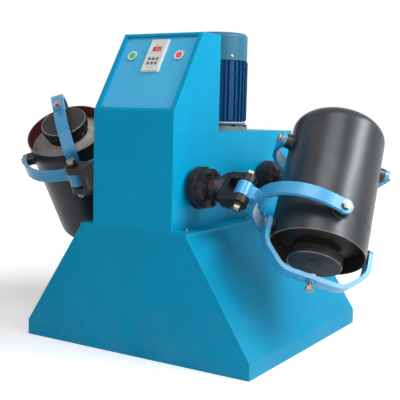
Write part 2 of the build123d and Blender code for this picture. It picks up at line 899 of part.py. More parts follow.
def bail(frame, label):
    """The strap that swings over the lid, with a threaded boss in its middle."""
    catch = shifted(frame, 0, 0, bail_rise)
    outer_reach = bail_reach + bail_thickness
    with BuildPart() as strap:
        with BuildSketch(side_on(catch).offset(-bail_width / 2), mode=Mode.PRIVATE) as bow:
            for grow, mode in ((bail_thickness, Mode.ADD), (0, Mode.SUBTRACT)):
                reach = bail_reach + grow
                top = bail_base + grow
                flat = bail_flat + grow / 3
                side = bail_side + grow / 3
                with BuildLine():
                    FilletPolyline(
                        (-reach, 0),
                        (-reach, side),
                        (-flat, top),
                        (flat, top),
                        (reach, side),
                        (reach, 0),
                        radius=bail_bend + grow,
                    )
                    Line((reach, 0), (-reach, 0))
                make_face(mode=mode)
        extrude(bow.sketch, amount=bail_width)
        post(edge_on(catch), bail_width / 2, bail_reach, outer_reach)
        post(edge_on(catch), bail_width / 2, -outer_reach, -bail_reach)
        post(catch, pad_radius, bail_base + bail_thickness / 2, bail_base + bail_thickness + bail_nut_rise)
        post(
            edge_on(catch),
            bail_pin_radius + running_fit,
            -outer_reach - overrun,
            outer_reach + overrun,
            mode=Mode.SUBTRACT,
        )
        post(
            catch,
            screw_radius + running_fit,
            bail_base - overrun,
            bail_base + bail_thickness + bail_nut_rise + overrun,
            mode=Mode.SUBTRACT,
        )
    save(strap, label)


def clamp_screw(frame, label):
    catch = shifted(frame, 0, 0, bail_rise)
    end = bail_base + bail_thickness + screw_stand
    with BuildPart() as screw:
        post(catch, screw_radius, pad_lift, end)
        post(catch, pad_radius, pad_lift, pad_lift + pad_thickness)
        hexagon(catch, screw_head_radius, end - screw_head_height, end)
    save(screw, label)


def linkage(side, turn):
    """The places and directions of one chain at rest, from its front fork's turn."""
    angle = radians(turn)
    out = Vector(side, 0, 0)
    across = Vector(1, 0, 0)
    front_pin = Vector(side * pin_reach, front_shaft_y, shaft_height)
    front_cross = Vector(0, cos(angle), sin(angle))
    front_side = across.cross(front_cross)
    tip = -asin(sqrt(3) / 2 * sin(angle))
    fold = copysign(acos(1 / (2 * cos(tip) ** 2) - 1), cos(angle))
    back_tip = -2 * side * tip
    front_arm = out * cos(tip) + front_side * sin(tip)
    near_pivot = front_cross.cross(front_arm)
    near_point = front_pin + front_arm * arm
    barrel = front_arm * cos(fold) + front_cross * sin(fold)
    far_pivot = barrel.cross(near_pivot)
    far_point = near_point + barrel * arm
    rear_arm = barrel * cos(back_tip) + near_pivot * sin(back_tip)
    rear_cross = rear_arm.cross(far_pivot)
    rear_pin = far_point + rear_arm * arm
    return {
        "front_fork": Plane(origin=front_pin, x_dir=front_cross, z_dir=out),
        "rear_fork": Plane(origin=rear_pin, x_dir=rear_cross, z_dir=out),
        "front_yoke": Plane(origin=near_point, x_dir=near_pivot, z_dir=near_pivot.cross(-front_arm)),
        "rear_yoke": Plane(origin=far_point, x_dir=far_pivot, z_dir=far_pivot.cross(rear_arm)),
        "drum": Plane(origin=near_point, x_dir=near_pivot, z_dir=-barrel),
    }


for side, turn in ((1, right_turn), (-1, left_turn)):
    name = side_names[side]
    frames = linkage(side, turn)
    for key, frame in frames.items():
        print(name, key, frame.origin, frame.x_dir, frame.z_dir)
    fork(frames["front_fork"], ear_inner_open, f"front_fork_{name}")
    fork(frames["rear_fork"], ear_inner_tight, f"rear_fork_{name}")
    cross_pin(frames["front_fork"], ear_inner_open, f"front_cross_pin_{name}")
    cross_pin(frames["rear_fork"], ear_inner_tight, f"rear_cross_pin_{name}")
    yoke(frames["front_yoke"], open_pin_play, f"front_yoke_{name}")
    yoke(frames["rear_yoke"], running_fit, f"rear_yoke_{name}")
    drum_shell(frames["drum"], f"drum_{name}")
    drum_mouth(frames["drum"], f"drum_mouth_{name}")
    drum_bolts(frames["drum"], f"drum_bolts_{name}")
    lid_and_gasket(frames["drum"], f"lid_{name}", f"lid_gasket_{name}")
    bail_pins(frames["drum"], f"bail_pins_{name}")
    bail(frames["drum"], f"bail_{name}")
    clamp_screw(frames["drum"], f"clamp_screw_{name}")
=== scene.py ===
# %% [markdown]
# # A three-dimensional motion mixer
# Two closed drums hang at the sides of a blue cabinet, each between a pair of
# forked shafts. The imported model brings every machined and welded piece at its
# real place and size. This lesson gives them their finishes, adds the small
# fasteners, welds and trim that a drawing leaves out, and sets up a plain studio.

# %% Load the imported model
import json
from math import atan2, cos, pi, radians, sin, sqrt

import bpy
from mathutils import Matrix, Vector


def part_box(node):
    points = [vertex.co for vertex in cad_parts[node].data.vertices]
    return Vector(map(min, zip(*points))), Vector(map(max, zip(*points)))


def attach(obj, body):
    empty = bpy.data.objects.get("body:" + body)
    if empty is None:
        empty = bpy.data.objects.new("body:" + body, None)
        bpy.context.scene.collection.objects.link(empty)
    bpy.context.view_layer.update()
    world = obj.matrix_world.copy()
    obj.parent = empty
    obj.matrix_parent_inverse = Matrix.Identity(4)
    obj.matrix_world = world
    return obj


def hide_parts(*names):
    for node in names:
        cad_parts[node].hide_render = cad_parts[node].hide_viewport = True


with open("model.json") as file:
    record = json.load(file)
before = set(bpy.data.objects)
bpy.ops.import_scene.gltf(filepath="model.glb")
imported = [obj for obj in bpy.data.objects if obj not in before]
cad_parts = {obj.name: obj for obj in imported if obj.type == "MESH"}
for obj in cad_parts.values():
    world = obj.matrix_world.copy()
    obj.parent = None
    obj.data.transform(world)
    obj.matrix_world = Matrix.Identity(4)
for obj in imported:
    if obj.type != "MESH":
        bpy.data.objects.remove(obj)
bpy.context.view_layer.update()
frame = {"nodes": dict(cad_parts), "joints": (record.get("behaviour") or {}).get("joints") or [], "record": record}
nodes = frame["nodes"]
joints = {joint["name"]: joint for joint in frame["joints"]}
sides = {"right": 1, "left": -1}

# %% [markdown]
# ## The camera
# The picture is taken from the front right, a little above the shafts, with a
# long lens and a slight roll. A camera in Blender looks along its own -Z, so its
# matrix is written from three directions: right, up and backwards.

# %% Camera
picture_size = 400
focal_pixels = 807.0
sensor_width = 36.0
camera_place = Vector((1.3755, -2.2514, 0.7192))
azimuth = radians(31.47)
elevation = radians(6.26)
roll = radians(1.37)

backwards = Vector((sin(azimuth) * cos(elevation), -cos(azimuth) * cos(elevation), sin(elevation)))
level_right = Vector((cos(azimuth), sin(azimuth), 0))
level_up = backwards.cross(level_right)
camera_right = level_right * cos(roll) + level_up * sin(roll)
camera_up = level_up * cos(roll) - level_right * sin(roll)

camera_data = bpy.data.cameras.new("camera")
camera_data.sensor_width = sensor_width
camera_data.lens = focal_pixels / picture_size * sensor_width
camera = bpy.data.objects.new("camera", camera_data)
bpy.context.scene.collection.objects.link(camera)
axes = Matrix((camera_right, camera_up, backwards)).transposed()
camera.matrix_world = Matrix.Translation(camera_place) @ axes.to_4x4()
bpy.context.scene.camera = camera
print("lens", round(camera_data.lens, 1), "mm")

# %% [markdown]
# ## Where the moving pieces stand
# Each fork, yoke and drum has its own directions at rest. They follow from the
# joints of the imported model, apart from the front forks, whose turn is a size of
# the machine. A small frame is written for each, so that a bolt or a weld can be
# modelled upright at the origin and then set in place by one matrix.

# %% Frames of the two chains
arm = 0.245
shaft_height = 0.5
front_shaft_y = -0.267
pin_reach = 0.303
front_turns = {"right": radians(48.4), "left": radians(118)}


def frame_at(origin, x_dir, z_dir):
    """A matrix with its origin, its x and its z given, and y square to both."""
    z_unit = Vector(z_dir).normalized()
    x_unit = Vector(x_dir).normalized()
    turn = Matrix((x_unit, z_unit.cross(x_unit), z_unit)).transposed()
    return Matrix.Translation(origin) @ turn.to_4x4()


def joint_place(name):
    return Vector(joints[name]["pos_m"]), Vector(joints[name]["axis"]).normalized()


forks, yokes, drums = {}, {}, {}
for side, sign in sides.items():
    outwards = (sign, 0, 0)
    front_pin = Vector((sign * pin_reach, front_shaft_y, shaft_height))
    turn = front_turns[side]
    rear_pin, rear_axis = joint_place(f"rear_yoke_{side}_swing")
    far, far_axis = joint_place(f"drum_{side}_swing")
    near, near_axis = joint_place(f"front_yoke_{side}_swing")
    forks["front", side] = frame_at(front_pin, (0, cos(turn), sin(turn)), outwards)
    forks["rear", side] = frame_at(rear_pin, rear_axis, outwards)
    yokes["front", side] = frame_at(near, near_axis, near_axis.cross(front_pin - near))
    yokes["rear", side] = frame_at(far, far_axis, far_axis.cross(rear_pin - far))
    drums[side] = frame_at(near, near_axis, near - far)
    print(side, "arm lengths", [round(length, 4) for length in ((front_pin - near).length, (near - far).length)])

fork_bodies = {("front", side): f"idle_shaft_{side}" for side in sides}
fork_bodies.update({("rear", side): "drive_shaft" for side in sides})

# %% [markdown]
# ## Helpers for shader nodes
# A material is a small network of nodes. These helpers add a node, set its
# plain values and join it to others, so each finish below reads as a recipe.

# %% Shader helpers


def linear(code):
    """A colour written as six hexadecimal digits, as linear red, green, blue."""
    values = [int(code[i : i + 2], 16) / 255 for i in (0, 2, 4)]
    return [v / 12.92 if v <= 0.04045 else ((v + 0.055) / 1.055) ** 2.4 for v in values] + [1.0]


def add_node(tree, kind, inputs=None, **settings):
    """Adds a node. An input is given a plain value, or another node's output."""
    node = tree.nodes.new(kind)
    for key, value in settings.items():
        setattr(node, key, value)
    for key, value in (inputs or {}).items():
        if isinstance(value, bpy.types.NodeSocket):
            tree.links.new(value, node.inputs[key])
        else:
            node.inputs[key].default_value = value
    return node


def noise(tree, vector, scale, detail=3.0, roughness=0.5):
    inputs = {"Vector": vector, "Scale": scale, "Detail": detail, "Roughness": roughness}
    return add_node(tree, "ShaderNodeTexNoise", inputs).outputs["Fac"]


def remap(tree, value, low, high, to_low=0.0, to_high=1.0):
    inputs = {"Value": value, "From Min": low, "From Max": high, "To Min": to_low, "To Max": to_high}
    return add_node(tree, "ShaderNodeMapRange", inputs).outputs["Result"]


def math_node(tree, operation, first, second=0.0, clamp=False):
    node = add_node(tree, "ShaderNodeMath", {0: first, 1: second}, operation=operation, use_clamp=clamp)
    return node.outputs[0]


def vector_math(tree, operation, first, second=None):
    inputs = {0: first} if second is None else {0: first, 1: second}
    return add_node(tree, "ShaderNodeVectorMath", inputs, operation=operation).outputs


def mix_colour(tree, factor, first, second):
    node = add_node(tree, "ShaderNodeMix", data_type="RGBA")
    for key, value in ((0, factor), (6, first), (7, second)):
        if isinstance(value, bpy.types.NodeSocket):
            tree.links.new(value, node.inputs[key])
        else:
            node.inputs[key].default_value = value
    return node.outputs[2]


def object_place(tree):
    return add_node(tree, "ShaderNodeTexCoord").outputs["Object"]


def bump(tree, shader, height, strength, distance, under=None):
    """Raises the surface by a height, on top of another bump if one is given."""
    inputs = {"Strength": strength, "Distance": distance, "Height": height}
    if under is not None:
        inputs["Normal"] = under
    normal = add_node(tree, "ShaderNodeBump", inputs).outputs["Normal"]
    tree.links.new(normal, shader.inputs["Normal"])
    return normal


def new_group(name, inputs, outputs):
    """An empty shader node group with named sockets."""
    group = bpy.data.node_groups.new(name, "ShaderNodeTree")
    for label, kind, value in inputs:
        group.interface.new_socket(label, in_out="INPUT", socket_type=kind).default_value = value
    for label in outputs:
        group.interface.new_socket(label, in_out="OUTPUT", socket_type="NodeSocketFloat")
    return group, group.nodes.new("NodeGroupInput"), group.nodes.new("NodeGroupOutput")


# %% [markdown]
# ## Effects that several finishes share
# Sprayed paint is never perfectly even: it has a fine pebbled skin, slow
# changes of tone, and it rubs thin along the edges that people touch. Bare metal
# carries fine lines from its tool. Each effect is a node group that puts out a
# mask or a height, and every finish below places it with its own values.

# %% Group: sprayed skin
skin_group, start, end = new_group(
    "sprayed_skin",
    (("Pebble Scale", "NodeSocketFloat", 900.0), ("Cloud Scale", "NodeSocketFloat", 5.0)),
    ("Height", "Cloud", "Speck"),
)
place = object_place(skin_group)
pebbles = noise(skin_group, place, start.outputs["Pebble Scale"], 2.0)
clouds = noise(skin_group, place, start.outputs["Cloud Scale"], 4.0, 0.55)
specks = noise(skin_group, place, 260.0, 6.0, 0.7)
skin_group.links.new(pebbles, end.inputs["Height"])
skin_group.links.new(remap(skin_group, clouds, 0.3, 0.7), end.inputs["Cloud"])
skin_group.links.new(remap(skin_group, specks, 0.66, 0.74), end.inputs["Speck"])

# %% Group: worn edges
edge_group, start, end = new_group(
    "worn_edges",
    (("Radius", "NodeSocketFloat", 0.002), ("Amount", "NodeSocketFloat", 0.5)),
    ("Mask",),
)
place = object_place(edge_group)
rounded_normal = add_node(edge_group, "ShaderNodeBevel", {"Radius": start.outputs["Radius"]}, samples=6)
flat_normal = add_node(edge_group, "ShaderNodeNewGeometry").outputs["True Normal"]
facing = vector_math(edge_group, "DOT_PRODUCT", rounded_normal.outputs["Normal"], flat_normal)["Value"]
turned = remap(edge_group, facing, 0.99, 0.85)
patches = remap(edge_group, noise(edge_group, place, 70.0, 5.0, 0.65), 0.42, 0.62)
worn = math_node(edge_group, "MULTIPLY", turned, patches)
worn = math_node(edge_group, "MULTIPLY", worn, start.outputs["Amount"], clamp=True)
edge_group.links.new(worn, end.inputs["Mask"])

# %% Group: fine scratches
scratch_group, start, end = new_group(
    "fine_scratches",
    (("Stretch", "NodeSocketVector", (1.0, 1.0, 0.06)), ("Scale", "NodeSocketFloat", 420.0)),
    ("Mask", "Height"),
)
drawn = vector_math(scratch_group, "MULTIPLY", object_place(scratch_group), start.outputs["Stretch"])["Vector"]
lines = noise(scratch_group, drawn, start.outputs["Scale"], 3.0, 0.6)
scratch_group.links.new(remap(scratch_group, lines, 0.35, 0.65), end.inputs["Height"])
scratch_group.links.new(remap(scratch_group, lines, 0.6, 0.72), end.inputs["Mask"])


def place_group(tree, group, **values):
    """Places a group in a material. Underscores in a value's name stand for spaces."""
    node = tree.nodes.new("ShaderNodeGroup")
    node.node_tree = group
    for key, value in values.items():
        node.inputs[key.replace("_", " ")].default_value = value
    return node


def blank(name):
    """A new material with its Principled shader, and the tree they stand in."""
    material = bpy.data.materials.new(name)
    material.use_nodes = True
    return material, material.node_tree, material.node_tree.nodes["Principled BSDF"]


# %% [markdown]
# ## Sprayed enamel
# The cabinet and the pedestal are sprayed with a flat blue enamel, the yokes and
# the straps with a glossier, paler one. One function makes every paint: a base
# tone that drifts a little, a pebbled skin, specks of dust and thin primer that
# shows at worn edges. Dust lies thicker low down on the pedestal.

# %% Paints


def enamel(name, code, shade, rough, shine, pebble=0.05, wear=0.3, low_dust=0.0):
    material, tree, shader = blank(name)
    skin = place_group(tree, skin_group)
    edges = place_group(tree, edge_group, Radius=0.0022, Amount=wear)
    colour = mix_colour(tree, skin.outputs["Cloud"], linear(code), linear(shade))
    speck = math_node(tree, "MULTIPLY", skin.outputs["Speck"], 0.12)
    colour = mix_colour(tree, speck, colour, linear("B9D4DC"))
    if low_dust:
        place = object_place(tree)
        height = add_node(tree, "ShaderNodeSeparateXYZ", {0: place}).outputs["Z"]
        patches = remap(tree, noise(tree, place, 14.0, 6.0), 0.35, 0.7)
        dust = math_node(tree, "MULTIPLY", remap(tree, height, 0.2, 0.0), patches)
        colour = mix_colour(tree, math_node(tree, "MULTIPLY", dust, low_dust), colour, linear("6FA0B0"))
    colour = mix_colour(tree, edges.outputs["Mask"], colour, linear("7FBAD2"))
    tree.links.new(colour, shader.inputs["Base Color"])
    roughness = remap(tree, skin.outputs["Cloud"], 0.0, 1.0, rough - 0.04, rough + 0.06)
    tree.links.new(roughness, shader.inputs["Roughness"])
    bump(tree, shader, skin.outputs["Height"], pebble, 0.001)
    shader.inputs["Specular IOR Level"].default_value = shine
    return material


cabinet_paint = enamel("cabinet_paint", "009DCA", "0095C0", 0.45, 0.1)
pedestal_paint = enamel("pedestal_paint", "0098C4", "0090BA", 0.45, 0.1, low_dust=0.15)
panel_paint = enamel("panel_paint", "55BEEC", "4DB6E4", 0.5, 0.12, wear=0.15)
yoke_paint = enamel("yoke_paint", "44A4D6", "3A9ACB", 0.27, 0.5, wear=0.5)
motor_paint = enamel("motor_paint", "054A7C", "04416E", 0.42, 0.15, pebble=0.12, wear=0.4)
cowl_paint = enamel("cowl_paint", "276E88", "226680", 0.4, 0.3, pebble=0.1)
print("paints", 6)

# %% [markdown]
# ## Bare and blackened metal
# Bolts and nuts are turned steel with a thin plating that has gone a little
# brown. The forks are blackened steel, oily, with a brown bloom where hands and
# rags have rubbed them. Both start from the same scratch lines and edge wear.

# %% Metals


def metal(name, code, shade, rough, scale=420.0, depth=0.08, wear=0.3, metallic=1.0, edge="E2E0DA"):
    material, tree, shader = blank(name)
    skin = place_group(tree, skin_group, Cloud_Scale=18.0)
    scratches = place_group(tree, scratch_group, Scale=scale)
    edges = place_group(tree, edge_group, Radius=0.0012, Amount=wear)
    colour = mix_colour(tree, skin.outputs["Cloud"], linear(code), linear(shade))
    scratched = math_node(tree, "MULTIPLY", scratches.outputs["Mask"], 0.25)
    colour = mix_colour(tree, scratched, colour, linear(edge))
    colour = mix_colour(tree, edges.outputs["Mask"], colour, linear(edge))
    tree.links.new(colour, shader.inputs["Base Color"])
    roughness = remap(tree, scratches.outputs["Height"], 0.0, 1.0, rough - 0.08, rough + 0.1)
    tree.links.new(roughness, shader.inputs["Roughness"])
    bump(tree, shader, scratches.outputs["Height"], depth, 0.0005)
    shader.inputs["Metallic"].default_value = metallic
    return material


def blackened(name, code, shade, bloom_code, bloom_amount):
    """Black oiled steel: dark and half glossy, with brown bloom in patches."""
    material, tree, shader = blank(name)
    place = object_place(tree)
    skin = place_group(tree, skin_group, Cloud_Scale=26.0)
    edges = place_group(tree, edge_group, Radius=0.0016, Amount=0.55)
    bloom = remap(tree, noise(tree, place, 32.0, 6.0, 0.65), 0.48, 0.72)
    colour = mix_colour(tree, skin.outputs["Cloud"], linear(code), linear(shade))
    colour = mix_colour(tree, math_node(tree, "MULTIPLY", bloom, bloom_amount), colour, linear(bloom_code))
    colour = mix_colour(tree, edges.outputs["Mask"], colour, linear("85807A"))
    tree.links.new(colour, shader.inputs["Base Color"])
    shader.inputs["Metallic"].default_value = 0.3
    shader.inputs["Specular IOR Level"].default_value = 0.3
    tree.links.new(remap(tree, bloom, 0.0, 1.0, 0.38, 0.55), shader.inputs["Roughness"])
    bump(tree, shader, skin.outputs["Height"], 0.15, 0.0006)
    return material


bright_steel = metal("bright_steel", "A39A94", "857A70", 0.34)
black_steel = blackened("black_steel", "17191F", "22242A", "4E3F36", 0.6)
print("metals ready")

# %% [markdown]
# ## The drums
# Each drum is rolled steel sheet under a dark lacquer that shines softly, and its
# reflections waver where the sheet isn't quite round. Inside its collar the
# primer was never painted over: red-brown in the left drum. The cone that narrows
# the mouth is bare and dusty, and pale in the left drum. In the right drum the
# primer and the cone are both given near-black colours, which are painted shade.
# Each area is told from the next by its distance from the drum's axis and its
# height along it.

# %% Height and radius in a drum
drum_radius = 0.138
rim_reach = 0.072
cone_end = 0.058


def drum_measures(tree, side):
    """Place, distance from the drum's axis, and height above its near pivots."""
    outwards = drums[side].to_3x3().col[2]
    place = object_place(tree)
    offset = vector_math(tree, "SUBTRACT", place, drums[side].translation)["Vector"]
    height = vector_math(tree, "DOT_PRODUCT", offset, outwards)["Value"]
    cross = vector_math(tree, "CROSS_PRODUCT", offset, outwards)["Vector"]
    return place, vector_math(tree, "LENGTH", cross)["Value"], height


# %% Drum lacquer
# The right drum's two primer colours are near black: painted shade. The left drum's red-browns are the primer's
# own colour.
primer_colours_and_painted_shade = {"right": ("241A17", "140F0E"), "left": ("6E1C20", "421416")}


def drum_lacquer(side):
    material, tree, shader = blank(f"drum_lacquer_{side}")
    place, radius, height = drum_measures(tree, side)
    skin = place_group(tree, skin_group, Cloud_Scale=7.0)
    edges = place_group(tree, edge_group, Radius=0.0016, Amount=0.6)
    inner_face = remap(tree, radius, drum_radius - 0.0008, drum_radius - 0.0018)
    inside = math_node(tree, "MULTIPLY", inner_face, remap(tree, height, 0.02, 0.021))
    rim = remap(tree, height, rim_reach - 0.0012, rim_reach - 0.0004)
    outer = mix_colour(tree, skin.outputs["Cloud"], linear("1F242A"), linear("2C3036"))
    rubbed = remap(tree, noise(tree, place, 11.0, 6.0, 0.6), 0.5, 0.75)
    outer = mix_colour(tree, math_node(tree, "MULTIPLY", rubbed, 0.35), outer, linear("4A4541"))
    patches = remap(tree, noise(tree, place, 30.0, 5.0), 0.35, 0.7)
    # For the right drum both of these colours are painted shade.
    bare_and_painted_shade, stained_and_painted_shade = (linear(code) for code in primer_colours_and_painted_shade[side])
    colour = mix_colour(tree, inside, outer, mix_colour(tree, patches, bare_and_painted_shade, stained_and_painted_shade))
    colour = mix_colour(tree, math_node(tree, "MULTIPLY", rim, 0.7), colour, linear("8E8078"))
    colour = mix_colour(tree, edges.outputs["Mask"], colour, linear("85807B"))
    tree.links.new(colour, shader.inputs["Base Color"])
    tree.links.new(remap(tree, inside, 0.0, 1.0, 0.32, 0.75), shader.inputs["Roughness"])
    tree.links.new(remap(tree, inside, 0.0, 1.0, 0.35, 0.0), shader.inputs["Metallic"])
    shader.inputs["Specular IOR Level"].default_value = 0.55
    wavering = bump(tree, shader, noise(tree, place, 7.0, 1.5, 0.4), 0.3, 0.01)
    bump(tree, shader, skin.outputs["Height"], 0.06, 0.0006, wavering)
    return material


# %% Mouth cone and lid
# The right drum's two cone colours are near black: painted shade. The left drum's pale greys are the bare steel's
# own colour.
cone_colours_and_painted_shade = {"right": ("2A2320", "1C1816"), "left": ("BDB9B4", "9E9994")}


def mouth_steel(side):
    """The cone is bare and dusty, near black in the right drum as painted shade, and its neck is near black."""
    material, tree, shader = blank(f"mouth_steel_{side}")
    place, radius, height = drum_measures(tree, side)
    skin = place_group(tree, skin_group, Cloud_Scale=22.0)
    scratches = place_group(tree, scratch_group, Scale=260.0)
    edges = place_group(tree, edge_group, Radius=0.0012, Amount=0.3)
    bare_and_painted_shade, dusty_and_painted_shade = (linear(code) for code in cone_colours_and_painted_shade[side])
    cone = mix_colour(tree, skin.outputs["Cloud"], bare_and_painted_shade, dusty_and_painted_shade)
    stains = remap(tree, noise(tree, place, 24.0, 6.0, 0.65), 0.5, 0.75)
    cone = mix_colour(tree, math_node(tree, "MULTIPLY", stains, 0.4), cone, linear("5C5049"))
    # Above the cone, the neck is given a near-black colour.
    colour = mix_colour(tree, remap(tree, height, cone_end - 0.001, cone_end + 0.003), cone, linear("1B1B1D"))
    colour = mix_colour(tree, edges.outputs["Mask"], colour, linear("8A8680"))
    tree.links.new(colour, shader.inputs["Base Color"])
    roughness = remap(tree, scratches.outputs["Height"], 0.0, 1.0, 0.42, 0.62)
    tree.links.new(roughness, shader.inputs["Roughness"])
    shader.inputs["Specular IOR Level"].default_value = 0.25
    bump(tree, shader, scratches.outputs["Height"], 0.06, 0.0005)
    return material


def lid_steel(side):
    """Dull grey on top, turned lines round it, and black on the side."""
    material, tree, shader = blank(f"lid_steel_{side}")
    place, radius, height = drum_measures(tree, side)
    skin = place_group(tree, skin_group, Cloud_Scale=20.0)
    edges = place_group(tree, edge_group, Radius=0.0016, Amount=0.7)
    top = mix_colour(tree, skin.outputs["Cloud"], linear("222428"), linear("1B1D20"))
    colour = mix_colour(tree, remap(tree, height, 0.1055, 0.1075), linear("151517"), top)
    colour = mix_colour(tree, edges.outputs["Mask"], colour, linear("B4B1AC"))
    tree.links.new(colour, shader.inputs["Base Color"])
    turned = math_node(tree, "SINE", math_node(tree, "MULTIPLY", radius, 5200.0))
    tree.links.new(remap(tree, skin.outputs["Cloud"], 0.0, 1.0, 0.4, 0.54), shader.inputs["Roughness"])
    shader.inputs["Specular IOR Level"].default_value = 0.3
    bump(tree, shader, turned, 0.12, 0.0003)
    return material


drum_finishes = {
    "drum_steel": {side: drum_lacquer(side) for side in sides},
    "mouth_steel": {side: mouth_steel(side) for side in sides},
    "lid_steel": {side: lid_steel(side) for side in sides},
}
print("drum finishes", [len(pair) for pair in drum_finishes.values()])

# %% [markdown]
# ## Plastics and rubber
# The small parts of the panel are moulded: a plain colour that drifts a little,
# with a fine grain. The lit figures of the display glow by themselves.

# %% Mouldings


def moulded(name, code, rough, grain=0.05, coat=0.0, glow=0.0):
    material, tree, shader = blank(name)
    skin = place_group(tree, skin_group, Pebble_Scale=1800.0, Cloud_Scale=40.0)
    base = linear(code)
    deeper = [channel * 0.86 for channel in base[:3]] + [1.0]
    colour = mix_colour(tree, skin.outputs["Cloud"], base, deeper)
    tree.links.new(colour, shader.inputs["Base Color"])
    roughness = remap(tree, skin.outputs["Cloud"], 0.0, 1.0, rough - 0.03, rough + 0.05)
    tree.links.new(roughness, shader.inputs["Roughness"])
    bump(tree, shader, skin.outputs["Height"], grain, 0.0004)
    shader.inputs["Coat Weight"].default_value = coat
    if glow:
        shader.inputs["Emission Color"].default_value = base
        shader.inputs["Emission Strength"].default_value = glow
    return material


finishes = {
    "pedestal_paint": pedestal_paint,
    "cabinet_paint": cabinet_paint,
    "panel_paint": panel_paint,
    "yoke_paint": yoke_paint,
    "motor_paint": motor_paint,
    "cowl_paint": cowl_paint,
    "bright_steel": bright_steel,
    "black_steel": black_steel,
    "raw_steel": metal("raw_steel", "8E8F92", "77787C", 0.4),
    "chrome_trim": metal("chrome_trim", "D6D9DC", "C4C8CC", 0.14, depth=0.02, wear=0.0),
    "motor_iron": metal("motor_iron", "67828B", "5B757D", 0.55, depth=0.2, metallic=0.2),
    "gearbox_iron": metal("gearbox_iron", "4A4C4E", "3C3E40", 0.6, depth=0.3, metallic=0.4),
    "wheel_bronze": metal("wheel_bronze", "B08A4E", "97743C", 0.4, edge="D8B070"),
    "gasket_rubber": moulded("gasket_rubber", "18181A", 0.7),
    "green_plastic": moulded("green_plastic", "2FC463", 0.25, coat=0.5),
    "red_plastic": moulded("red_plastic", "E8525A", 0.25, coat=0.5),
    "cream_plastic": moulded("cream_plastic", "E8E6E0", 0.5),
    "display_lens": moulded("display_lens", "8C2A3C", 0.2, coat=0.6),
    "key_plastic": moulded("key_plastic", "5C6A58", 0.5),
    "fan_plastic": moulded("fan_plastic", "1C1C1E", 0.5),
}
seam_black = moulded("seam_black", "0D0E10", 0.6)
lit_figures = moulded("lit_figures", "FF6A72", 0.4, glow=0.7)
white_nylon = moulded("white_nylon", "EDEBF0", 0.45)

# %% [markdown]
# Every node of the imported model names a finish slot. Assigning the material to
# the node's own slots keeps its mesh untouched.

# %% Give each node its finish
for entry in frame["record"]["subparts"]:
    node = nodes[entry["node"]]
    label = entry["material_slot"]
    if label in drum_finishes:
        finish = drum_finishes[label]["right" if node.name.endswith("right") else "left"]
    else:
        finish = finishes[label]
    node.data.materials.clear()
    node.data.materials.append(finish)
print("finishes", len(finishes) + len(drum_finishes))

# %% [markdown]
# ## Helpers for modelling
# Every added piece is modelled as by hand: a primitive is shaped upright at the
# origin by edit-mode operators and modifiers, and set in place at the end. An
# operator acts on all that is selected, so everything is deselected first.

# %% Modelling helpers


def deselect_all():
    for chosen in bpy.context.selected_objects:
        chosen.select_set(False)


def take_up(piece):
    """Makes one piece the only one selected, and the active one."""
    deselect_all()
    piece.select_set(True)
    bpy.context.view_layer.objects.active = piece
    return piece


def modify(piece, kind, **settings):
    """Adds a modifier and applies it at once."""
    take_up(piece)
    modifier = piece.modifiers.new(kind.lower(), kind)
    for key, value in settings.items():
        setattr(modifier, key, value)
    bpy.ops.object.modifier_apply(modifier=modifier.name)
    return piece


def rounded(piece, width, segments=2, angle=30):
    return modify(
        piece, "BEVEL", width=width, segments=segments, limit_method="ANGLE", angle_limit=radians(angle)
    )


def drop(tool):
    bpy.data.objects.remove(tool)


def cut(piece, tool, operation="DIFFERENCE"):
    """Cuts a piece with a tool, or keeps what both share."""
    modify(piece, "BOOLEAN", object=tool, operation=operation, solver="EXACT")
    drop(tool)
    return piece


def disc(radius, base, height, corners=48):
    """A round or many-sided bar that stands on a height."""
    deselect_all()
    bpy.ops.mesh.primitive_cylinder_add(
        vertices=corners, radius=radius, depth=height, location=(0, 0, base + height / 2)
    )
    bpy.ops.object.transform_apply(location=True, rotation=True, scale=True)
    return bpy.context.object


def slab(width, length, base, height, centre=(0, 0)):
    """A flat block that stands on a height."""
    deselect_all()
    bpy.ops.mesh.primitive_cube_add(size=1, location=(centre[0], centre[1], base + height / 2))
    bpy.ops.transform.resize(value=(width, length, height))
    bpy.ops.object.transform_apply(location=True, rotation=True, scale=True)
    return bpy.context.object


def torus(major, minor, around=96, across=10):
    deselect_all()
    bpy.ops.mesh.primitive_torus_add(
        major_radius=major, minor_radius=minor, major_segments=around, minor_segments=across
    )
    bpy.ops.object.transform_apply(location=True, rotation=True, scale=True)
    return bpy.context.object


def press_in(piece, thickness, depth, test):
    """Insets the faces that pass a test and moves them along their normals."""
    take_up(piece)
    bpy.ops.object.mode_set(mode="EDIT")
    bpy.ops.mesh.select_mode(type="FACE")
    bpy.ops.mesh.select_all(action="DESELECT")
    bpy.ops.object.mode_set(mode="OBJECT")
    for face in piece.data.polygons:
        face.select = test(face)
    bpy.ops.object.mode_set(mode="EDIT")
    bpy.ops.mesh.inset(thickness=thickness, depth=depth)
    bpy.ops.object.mode_set(mode="OBJECT")
    return piece


def joined(pieces):
    deselect_all()
    for piece in pieces:
        piece.select_set(True)
    bpy.context.view_layer.objects.active = pieces[0]
    bpy.ops.object.join()
    return pieces[0]


def copies(source, places):
    """One mesh set in each place, joined into one piece. The source stays."""
    pieces = []
    for place in places:
        mesh = source.data.copy()
        mesh.transform(place)
        twin = bpy.data.objects.new("copy", mesh)
        bpy.context.scene.collection.objects.link(twin)
        pieces.append(twin)
    return joined(pieces)


def finished(piece, name, body, label, finish=None, angle=35):
    """Names a piece, gives it its finish, and lets it ride on its body."""
    take_up(piece)
    bpy.ops.object.shade_smooth_by_angle(angle=radians(angle))
    piece.name = name
    piece.data.name = name
    piece.data.materials.clear()
    piece.data.materials.append(finish or finishes[label])
    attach(piece, body)
    print(name, len(piece.data.polygons), "faces")
    return piece


def moved(x, y, z):
    return Matrix.Translation((x, y, z))


